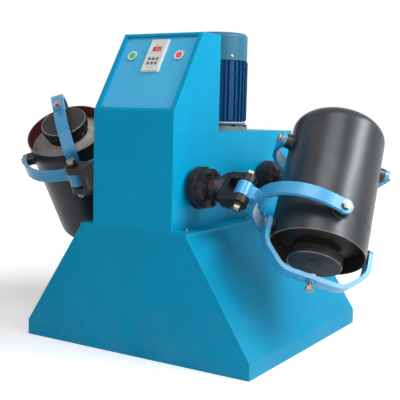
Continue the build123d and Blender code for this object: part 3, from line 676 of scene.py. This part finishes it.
def ring_places(count, radius, height, start=0.0):
    """Places round the z axis, each turned by its own angle."""
    turns = [start + 2 * pi * step / count for step in range(count)]
    return [Matrix.Rotation(turn, 4, "Z") @ moved(radius, 0, height) for turn in turns]


upside_down = Matrix.Rotation(pi, 4, "X")

# %% [markdown]
# ## Bolts and screws
# A hexagon head is a six-sided bar whose corners were turned off on a lathe, so
# it is what a six-sided bar and a bevelled round one share. Below it lies the
# round washer that it was tightened on. A screw for a screwdriver is a low dome
# with a slot cut across. Each is modelled once and copied.

# %% Bolt and screw patterns
washer_height = 0.0014
fine_edge = 0.0003


def hexagon_bolt(radius, height):
    head = disc(radius, washer_height, height, 6)
    turned = rounded(disc(radius, 0, washer_height + height, 48), radius * 0.18, 1, 60)
    cut(head, turned, "INTERSECT")
    washer = rounded(disc(radius * 1.18, 0, washer_height), fine_edge, 2)
    return joined([head, washer])


def dome_screw(radius, height, slot_width):
    dome = disc(radius, 0, height * 0.4, 32)
    for inwards, upwards in ((0.16, 0.3), (0.22, 0.2), (0.27, 0.1)):
        press_in(dome, radius * inwards, height * upwards, lambda face: face.normal.z > 0.99)
    slot = slab(slot_width, 3 * radius, height * 0.45, height)
    return cut(dome, slot)


disc_bolt_radius, disc_bolt_head = 0.0068, 0.0055
small_screw_radius, small_screw_head, small_slot = 0.0046, 0.0026, 0.0012
disc_bolt = hexagon_bolt(disc_bolt_radius, disc_bolt_head)
small_screw = dome_screw(small_screw_radius, small_screw_head, small_slot)
print("patterns", len(disc_bolt.data.polygons), len(small_screw.data.polygons))

# %% [markdown]
# ## Fork bolts
# The disc of each fork is two plates, drawn together by six bolts on a circle,
# with their heads outside and their nuts towards the cabinet.

# %% Fork bolts
disc_near = 0.155
disc_far = 0.199
bolt_circle = 0.048
bolts_per_disc = 6
for (where, side), fork in forks.items():
    heads = ring_places(bolts_per_disc, bolt_circle, disc_far - pin_reach)
    near_ring = ring_places(bolts_per_disc, bolt_circle, disc_near - pin_reach)
    nuts = [spot @ upside_down for spot in near_ring]
    bolts = copies(disc_bolt, [fork @ spot for spot in heads + nuts])
    finished(bolts, f"fork_bolts_{where}_{side}", fork_bodies[where, side], "black_steel")

# %% [markdown]
# ## Pins and pivots
# The tail of each cross pin is threaded for its nut. A thread that fine reads as
# a stack of rings, so one ring is repeated by an Array modifier. Where a yoke
# turns on a drum, a bronze washer fills the gap beside it, and the shouldered
# bolt that it turns on has a hexagon socket in its head.

# %% Threads


def thread(radius, pitch, turns):
    ring = torus(radius - 0.0002, pitch * 0.42, 48, 8)
    return modify(
        ring, "ARRAY", count=turns, use_relative_offset=False,
        use_constant_offset=True, constant_offset_displace=(0, 0, pitch),
    )


pin_radius = 0.010
pin_play = {"front": 0.025, "rear": 0.0223}
ear_depth = 0.028
nut_height = 0.012
pin_pitch, pin_turns = 0.0015, 3
pin_thread = thread(pin_radius, pin_pitch, pin_turns)
along_pin = frame_at((0, 0, 0), (0, 0, 1), (-1, 0, 0))
for (where, side), fork in forks.items():
    tail = pin_play[where] + ear_depth + nut_height + 0.0006
    ridges = copies(pin_thread, [fork @ along_pin @ moved(0, 0, tail)])
    finished(ridges, f"cross_pin_thread_{where}_{side}", fork_bodies[where, side], "bright_steel")
drop(pin_thread)

# %% Pivot washers and sockets
boss_reach = 0.158
washer_gap = 0.002
pivot_top = 0.1803
washer_radius, washer_bore = 0.0205, 0.0102
washer_play = 0.0001
socket_radius, socket_height, key_radius = 0.0095, 0.0016, 0.0052
cut_depth = 0.004
washer = disc(washer_radius, boss_reach + washer_play, washer_gap - 2 * washer_play, 64)
cut(washer, disc(washer_bore, boss_reach - 0.001, cut_depth, 48))
rounded(washer, fine_edge, 1)
socket = rounded(disc(socket_radius, pivot_top, socket_height, 40), 0.0005, 2)
cut(socket, disc(key_radius, pivot_top + 0.0002, cut_depth, 6))


def across(x, y, z, height=0.0):
    """A place whose z points along x or y of the drum, and whose x is its axis."""
    return frame_at((0, 0, height), (0, 0, 1), (x, y, z))


near_pair = [across(1, 0, 0), across(-1, 0, 0)]
far_pair = [across(0, 1, 0, -arm), across(0, -1, 0, -arm)]
for side, drum in drums.items():
    pivots = [drum @ spot for spot in near_pair + far_pair]
    rings = copies(washer, pivots)
    finished(rings, f"pivot_washers_{side}", f"drum_{side}", "wheel_bronze")
    sockets = copies(socket, pivots)
    finished(sockets, f"pivot_bolt_sockets_{side}", f"drum_{side}", "bright_steel")
drop(washer)
drop(socket)

# %% [markdown]
# ## Welds
# Bosses are welded to the drums, and the stem of each yoke to its strap and its
# barrel. A weld is a rope of metal that swells with every dip of the rod. It
# starts as a torus: each point of its ring is moved to the line where the two
# pieces meet, and the tube round it grows and shrinks along the way.

# %% Weld beads
drum_bead, yoke_bead = 0.0026, 0.0024
swells_per_metre = 1600
stem_swells = 34


def weld_bead(reach, lift, thickness, swells):
    """A closed bead. reach gives its distance from the middle at each angle, and
    lift the height of the surface below it."""
    ring_radius = 0.02
    bead = torus(ring_radius, thickness, 120, 8)
    for vertex in bead.data.vertices:
        angle = atan2(vertex.co.y, vertex.co.x)
        outwards = Vector((cos(angle), sin(angle), 0))
        swell = 1 + 0.18 * sin(swells * angle)
        middle = outwards * reach(angle)
        tube = (vertex.co - outwards * ring_radius) * swell
        vertex.co = middle + tube + Vector((0, 0, lift(middle.x, middle.y)))
    return bead


def round_weld(radius):
    """A bead round a boss that stands on the drum."""
    return weld_bead(
        lambda angle: radius,
        lambda x, y: sqrt(drum_radius**2 - y**2),
        drum_bead,
        round(radius * swells_per_metre),
    )


def square_weld(half_x, half_y, lift):
    """A bead round a square stem, with softly rounded corners."""
    power = 7

    def reach(angle):
        return 1 / ((abs(cos(angle)) / half_x) ** power + (abs(sin(angle)) / half_y) ** power) ** (1 / power)

    return weld_bead(reach, lift, yoke_bead, stem_swells)


# %% Welds on the drums
boss_foot, catch_foot = 0.0222, 0.0162
boss_weld = round_weld(boss_foot)
catch_weld = round_weld(catch_foot)
catch_height = 0.032
catch_pair = [across(0, 1, 0, catch_height), across(0, -1, 0, catch_height)]
for side, drum in drums.items():
    large = copies(boss_weld, [drum @ spot for spot in near_pair + far_pair])
    small = copies(catch_weld, [drum @ spot for spot in catch_pair])
    welds = joined([large, small])
    finished(welds, f"boss_welds_{side}", f"drum_{side}", "drum_steel", drum_finishes["drum_steel"][side], 60)
drop(boss_weld)
drop(catch_weld)

# %% Welds on the yokes
strap_outer = 0.172
strap_straight = 0.038
barrel_radius = 0.025
stem_x, stem_z = 0.017, 0.019
strap_weld = square_weld(stem_x, stem_z, lambda x, y: sqrt(strap_outer**2 - x**2) - strap_outer)
barrel_weld = square_weld(stem_x, stem_z, lambda x, y: -sqrt(barrel_radius**2 - x**2))
along_stem = frame_at((0, 0, 0), (1, 0, 0), (0, 1, 0))
for (where, side), yoke in yokes.items():
    lower = copies(strap_weld, [yoke @ moved(0, strap_straight + strap_outer, 0) @ along_stem])
    upper = copies(barrel_weld, [yoke @ moved(0, arm, 0) @ along_stem])
    welds = joined([lower, upper])
    finished(welds, f"yoke_welds_{where}_{side}", f"{where}_yoke_{side}", "yoke_paint", angle=60)
drop(strap_weld)
drop(barrel_weld)

# %% [markdown]
# ## Grease nipples
# The pin inside each yoke's barrel is greased through a nipple: a small hexagon,
# a waist and a ball end.

# %% Grease nipples
nipple_base = rounded(disc(0.0042, 0, 0.0035, 6), fine_edge, 1)
nipple_waist = disc(0.0019, 0.003, 0.0035, 24)
nipple_ball = rounded(disc(0.0029, 0.0058, 0.0030, 24), 0.0011, 3, 60)
nipple = joined([nipple_base, nipple_waist, nipple_ball])
for (where, side), yoke in yokes.items():
    seat = yoke @ moved(barrel_radius - 0.0003, arm, 0) @ frame_at((0, 0, 0), (0, 0, 1), (1, 0, 0))
    finished(copies(nipple, [seat]), f"grease_nipple_{where}_{side}", f"{where}_yoke_{side}", "wheel_bronze")
drop(nipple)

# %% [markdown]
# ## Seam, lid rim and neck bolts
# The collar of each drum is joined to its barrel just past the front pivots, and
# the joint shows as a dark line. The lid has a thin bright rim, turned with it,
# and a seat for the pad of the clamp screw. Two small bolts stand on the neck.

# %% Drum trim
seam_height = -0.010
lid_top = 0.11002
neck_radius = 0.070
seam_line, rim_line = 0.0011, 0.0010
lid_radius = 0.0752
seat_radius, seat_height = 0.019, 0.0012
neck_bolt_radius, neck_bolt_head = 0.0048, 0.0034
neck_bolt_height = 0.072
neck_bolt_turns = (135, 315)
seam = torus(drum_radius - 0.0004, seam_line, 160, 8)
rim = torus(lid_radius, rim_line, 128, 10)
pad_seat = rounded(disc(seat_radius, 0, seat_height, 64), 0.0005, 2)
press_in(pad_seat, 0.0025, -0.0005, lambda face: face.normal.z > 0.99 and face.area > 0.0003)
neck_bolt = hexagon_bolt(neck_bolt_radius, neck_bolt_head)
neck_places = [Matrix.Rotation(radians(turn), 4, "Z") @ across(1, 0, 0) for turn in neck_bolt_turns]
for side, drum in drums.items():
    line = copies(seam, [drum @ moved(0, 0, seam_height)])
    finished(line, f"drum_seam_{side}", f"drum_{side}", "drum_steel", seam_black)
    finished(copies(rim, [drum @ moved(0, 0, lid_top)]), f"lid_rim_{side}", f"lid_{side}", "bright_steel")
    seat = copies(pad_seat, [drum @ moved(0, 0, lid_top)])
    finished(seat, f"lid_pad_seat_{side}", f"lid_{side}", "lid_steel", drum_finishes["lid_steel"][side])
    spots = [drum @ moved(0, 0, neck_bolt_height) @ spot @ moved(0, 0, neck_radius) for spot in neck_places]
    finished(copies(neck_bolt, spots), f"neck_bolts_{side}", f"drum_{side}", "bright_steel")
for pattern in (seam, rim, pad_seat, neck_bolt):
    drop(pattern)

# %% Clamp screw threads
strap_top = 0.137
screw_radius, screw_pitch, screw_turns = 0.008, 0.0018, 5
screw_thread = thread(screw_radius, screw_pitch, screw_turns)
for side, drum in drums.items():
    ridges = copies(screw_thread, [drum @ moved(0, 0, catch_height + strap_top + 0.001)])
    finished(ridges, f"clamp_thread_{side}", f"clamp_screw_{side}", "bright_steel")
drop(screw_thread)

# %% [markdown]
# ## Control panel
# The plate is held by four slotted screws, which replace the plain ones of the
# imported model. The controller has a raised frame, a row of small marks under its
# display, two lamps, and three lit figures of seven strokes each.

# %% Panel frame and screws
half_depth = 0.3825
panel_foot = 0.718
tower_top = 0.948
tower_top_front = -0.236
panel_recess = 0.008
rise = Vector((0, tower_top_front + half_depth, tower_top - panel_foot))
slope_middle = Vector((0, -half_depth, panel_foot)) + rise / 2
slope = frame_at(slope_middle, (1, 0, 0), Vector((1, 0, 0)).cross(rise))
panel = slope @ moved(0, 0, -panel_recess)
screw_x = 0.116
screw_y = (rise.length - 0.018) / 2 - 0.010
panel_screw = dome_screw(0.0034, 0.0023, 0.0009)
corners = ((-1, 1, 20), (1, 1, 75), (-1, -1, 130), (1, -1, 50))
spots = []
for x, y, slot_turn in corners:
    spots.append(panel @ moved(x * screw_x, y * screw_y, 0) @ Matrix.Rotation(radians(slot_turn), 4, "Z"))
screws = finished(copies(panel_screw, spots), "slotted_panel_screws", "frame", "bright_steel")
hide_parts("panel_screws")
drop(panel_screw)


def on_panel(node):
    """The middle of a node, in the panel's own directions."""
    low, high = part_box(node)
    return panel.inverted() @ ((Vector(low) + Vector(high)) / 2)


# %% Controller trim
controller = on_panel("speed_controller")
window = on_panel("display_window")
keys = on_panel("controller_keys")
controller_top = 0.007
frame_width, frame_length, frame_wall, frame_height = 0.057, 0.111, 0.0025, 0.0008
inner_size = (frame_width - 2 * frame_wall, frame_length - 2 * frame_wall)
centre = (controller.x, controller.y)
frame_ring = slab(frame_width, frame_length, controller_top, frame_height, centre)
cut(frame_ring, slab(*inner_size, controller_top - 0.001, cut_depth, centre))
rounded(frame_ring, fine_edge, 1)
frame_ring.data.transform(panel)
finished(frame_ring, "controller_frame", "frame", "cream_plastic", white_nylon)

mark = rounded(slab(0.0042, 0.0016, controller_top, 0.0003), 0.0001, 1)
mark_rows = (
    (window.y - 0.0145, 5, 0.0082),
    (keys.y - 0.0145, 3, 0.0136),
    (keys.y - 0.024, 2, 0.010),
)
spots = []
for row_y, count, pitch in mark_rows:
    first = -(count - 1) / 2 * pitch
    spots += [panel @ moved(controller.x + first + step * pitch, row_y, 0) for step in range(count)]
finished(copies(mark, spots), "controller_marks", "frame", "key_plastic")
drop(mark)

lamp = rounded(disc(0.0016, controller_top, 0.0012, 24), 0.0008, 3, 60)
lamps = copies(lamp, [panel @ moved(controller.x + x, window.y + 0.0145, 0) for x in (-0.006, 0.004)])
finished(lamps, "controller_lamps", "frame", "red_plastic")
drop(lamp)

# %% Lit figures
figure_width, figure_height, stroke = 0.0052, 0.0098, 0.0013
window_top = controller_top - 0.0005
strokes = {
    "a": (0, 1, True), "b": (1, 0.5, False), "c": (1, -0.5, False), "d": (0, -1, True),
    "e": (-1, -0.5, False), "f": (-1, 0.5, False), "g": (0, 0, True),
}
figures = ("bc", "acdfg", "abcdef")
bars = []
for place_index, lit in enumerate(figures):
    middle = window.x + (place_index - 1) * 0.0084
    for letter in lit:
        x, y, level = strokes[letter]
        size = (figure_width - stroke, stroke) if level else (stroke, figure_height / 2 - stroke * 0.8)
        centre = (middle + x * figure_width / 2, window.y + y * figure_height / 2)
        bars.append(rounded(slab(*size, window_top, 0.0002, centre), 0.00008, 1))
digits = joined(bars)
digits.data.transform(panel)
finished(digits, "display_figures", "frame", "display_lens", lit_figures)

# %% [markdown]
# ## Motor
# The fan cowl is held by four screws, one over each wide rib. Eight bolts hold
# the flange, a pale spacer ring lies above it, and the terminal box has its own
# screws and a plugged gland.

# %% Motor fasteners
motor_low, motor_high = (Vector(corner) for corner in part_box("motor_housing"))
motor_middle = Vector((0, (motor_low.y + motor_high.y) / 2, 0))
flange_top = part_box("motor_flange")[0][2] + 0.014
rib_turn = -33
cowl_radius = 0.094
flange_circle, flange_bolts = 0.0925, 8
spacer_radius, spacer_bore, spacer_height, spacer_gap = 0.0985, 0.0900, 0.0026, 0.0034
motor = Matrix.Translation(motor_middle)
cowl_spots = []
for step in range(4):
    turn = Matrix.Rotation(radians(rib_turn + 90 * step), 4, "Z")
    outwards = moved(0, 0, motor_high.z + 0.012) @ turn @ across(1, 0, 0)
    cowl_spots.append(motor @ outwards @ moved(0, 0, cowl_radius - 0.0003))
cowl_screw = dome_screw(0.0058, 0.0034, 0.0013)
finished(copies(cowl_screw, cowl_spots), "cowl_screws", "frame", "bright_steel")
drop(cowl_screw)

flange_bolt = hexagon_bolt(0.0062, 0.0046)
spots = [motor @ spot for spot in ring_places(flange_bolts, flange_circle, flange_top, pi / flange_bolts)]
finished(copies(flange_bolt, spots), "motor_flange_bolts", "frame", "black_steel")
drop(flange_bolt)

spacer = disc(spacer_radius, motor_low.z - spacer_gap, spacer_height, 128)
cut(spacer, disc(spacer_bore, motor_low.z - 3 * spacer_gap, 6 * spacer_gap, 128))
rounded(spacer, 0.0006, 2)
spacer.data.transform(motor)
finished(spacer, "motor_spacer_ring", "frame", "motor_iron", white_nylon)

# %% Terminal box
box_low, box_high = (Vector(corner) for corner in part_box("motor_terminal_box"))
box_middle = (box_low + box_high) / 2
inset = 0.012
left_face = frame_at((box_low.x, 0, 0), (0, 1, 0), (-1, 0, 0))
spots = []
for y in (box_low.y + inset, box_high.y - inset):
    for z in (box_low.z + inset, box_high.z - inset):
        spots.append(moved(0, y, z) @ left_face)
finished(copies(small_screw, spots), "terminal_box_screws", "frame", "bright_steel")
gland_nut = rounded(disc(0.0115, 0, 0.006, 6), 0.0006, 1)
gland_cap = rounded(disc(0.0088, 0.006, 0.005, 40), 0.0025, 3, 60)
gland = joined([gland_nut, gland_cap])
gland.data.transform(moved(box_middle.x, box_middle.y, box_low.z) @ upside_down)
finished(gland, "terminal_box_gland", "frame", "gasket_rubber")

# %% [markdown]
# ## Cabinet
# Washers lie under the foot bolts. Where the tower meets the low box, the side
# sheets are welded and ground, which leaves a faint line along each side.

# %% Foot washers
cabinet_floor = 0.379
foot_x = 0.148
foot_rows = (-0.3185, 0.037, 0.167, 0.3425)
foot_washer = rounded(disc(0.0077, 0, 0.0012, 40), fine_edge, 2)
press_in(foot_washer, 0.0008, -0.0002, lambda face: face.normal.z > 0.99 and face.area > 0.00005)
spots = [moved(x, y, cabinet_floor) for x in (-foot_x, foot_x) for y in foot_rows]
finished(copies(foot_washer, spots), "foot_bolt_washers", "frame", "bright_steel")
drop(foot_washer)

# %% Ground weld lines
half_width = 0.140
box_top = 0.659
tower_back = -0.135
line_length = tower_back + half_depth - 0.004
ground_line = disc(0.0016, 0, line_length, 16)
modify(ground_line, "SUBSURF", levels=1, render_levels=1, subdivision_type="SIMPLE")
line_start = -half_depth + 0.002
spots = [frame_at((x, line_start, box_top), (1, 0, 0), (0, 1, 0)) for x in (-half_width, half_width)]
squeeze = Matrix.Diagonal((0.35, 1, 1, 1))
lines = copies(ground_line, [spot @ squeeze for spot in spots])
finished(lines, "tower_weld_lines", "frame", "cabinet_paint", angle=60)
drop(ground_line)
drop(disc_bolt)
drop(small_screw)

# %% [markdown]
# ## Studio
# A pale floor runs out to white. One broad lamp stands on the right and a little
# in front, so the side of the cabinet is the bright one and the drums carry a
# long soft streak. A weak fill stands in front and another lamp above. The
# surround looks white, while it lights the machine much less.

# %% Floor
deselect_all()
bpy.ops.mesh.primitive_plane_add(size=24, location=(0, 0, 0))
floor = bpy.context.object
floor.name = "studio_floor"
floor_finish, tree, shader = blank("studio_floor")
place = object_place(tree)
tone = mix_colour(tree, noise(tree, place, 3.0), linear("F0F0F0"), linear("ECECEC"))
tree.links.new(tone, shader.inputs["Base Color"])
shader.inputs["Roughness"].default_value = 0.9
shader.inputs["Specular IOR Level"].default_value = 0.0


def seen_directly(tree):
    """One where a ray comes from the camera, a mirror or a glass."""
    rays = add_node(tree, "ShaderNodeLightPath").outputs
    seen = math_node(tree, "MAXIMUM", rays["Is Camera Ray"], rays["Is Glossy Ray"])
    return math_node(tree, "MAXIMUM", seen, rays["Is Transmission Ray"])


distance = vector_math(tree, "LENGTH", place)["Value"]
lift = remap(tree, distance, 0.9, 2.5, 0.4, 1.0)
shader.inputs["Emission Color"].default_value = (1, 1, 1, 1)
tree.links.new(math_node(tree, "MULTIPLY", lift, seen_directly(tree)), shader.inputs["Emission Strength"])
floor.data.materials.append(floor_finish)

# %% Surround
world = bpy.data.worlds.new("studio")
bpy.context.scene.world = world
world.use_nodes = True
tree = world.node_tree
background = tree.nodes["Background"]
background.inputs["Color"].default_value = (1, 1, 1, 1)
tree.links.new(remap(tree, seen_directly(tree), 0.0, 1.0, 0.25, 1.0), background.inputs["Strength"])

# %% Lamps


def soft_light(name, place, target, size, power):
    light = bpy.data.lights.new(name, "AREA")
    light.shape = "RECTANGLE"
    light.size, light.size_y = size
    light.energy = power
    lamp = bpy.data.objects.new(name, light)
    bpy.context.scene.collection.objects.link(lamp)
    lamp.location = place
    lamp.rotation_euler = (Vector(place) - Vector(target)).to_track_quat("Z", "Y").to_euler()
    print(name, power, "W")


middle = (0.2, 0, 0.5)
drum_top = (0.5, -0.1, 0.6)
soft_light("key_light", (3.29, -0.10, 2.05), middle, (3.0, 2.4), 62)
soft_light("streak_light", (2.41, 0.45, 2.27), drum_top, (1.8, 0.5), 44)
soft_light("fill_light", (1.2, -4.0, 1.4), middle, (2.0, 1.8), 18)
soft_light("top_light", (0.86, -1.14, 3.2), middle, (1.6, 1.0), 26)
bpy.context.scene.view_settings.view_transform = "Standard"
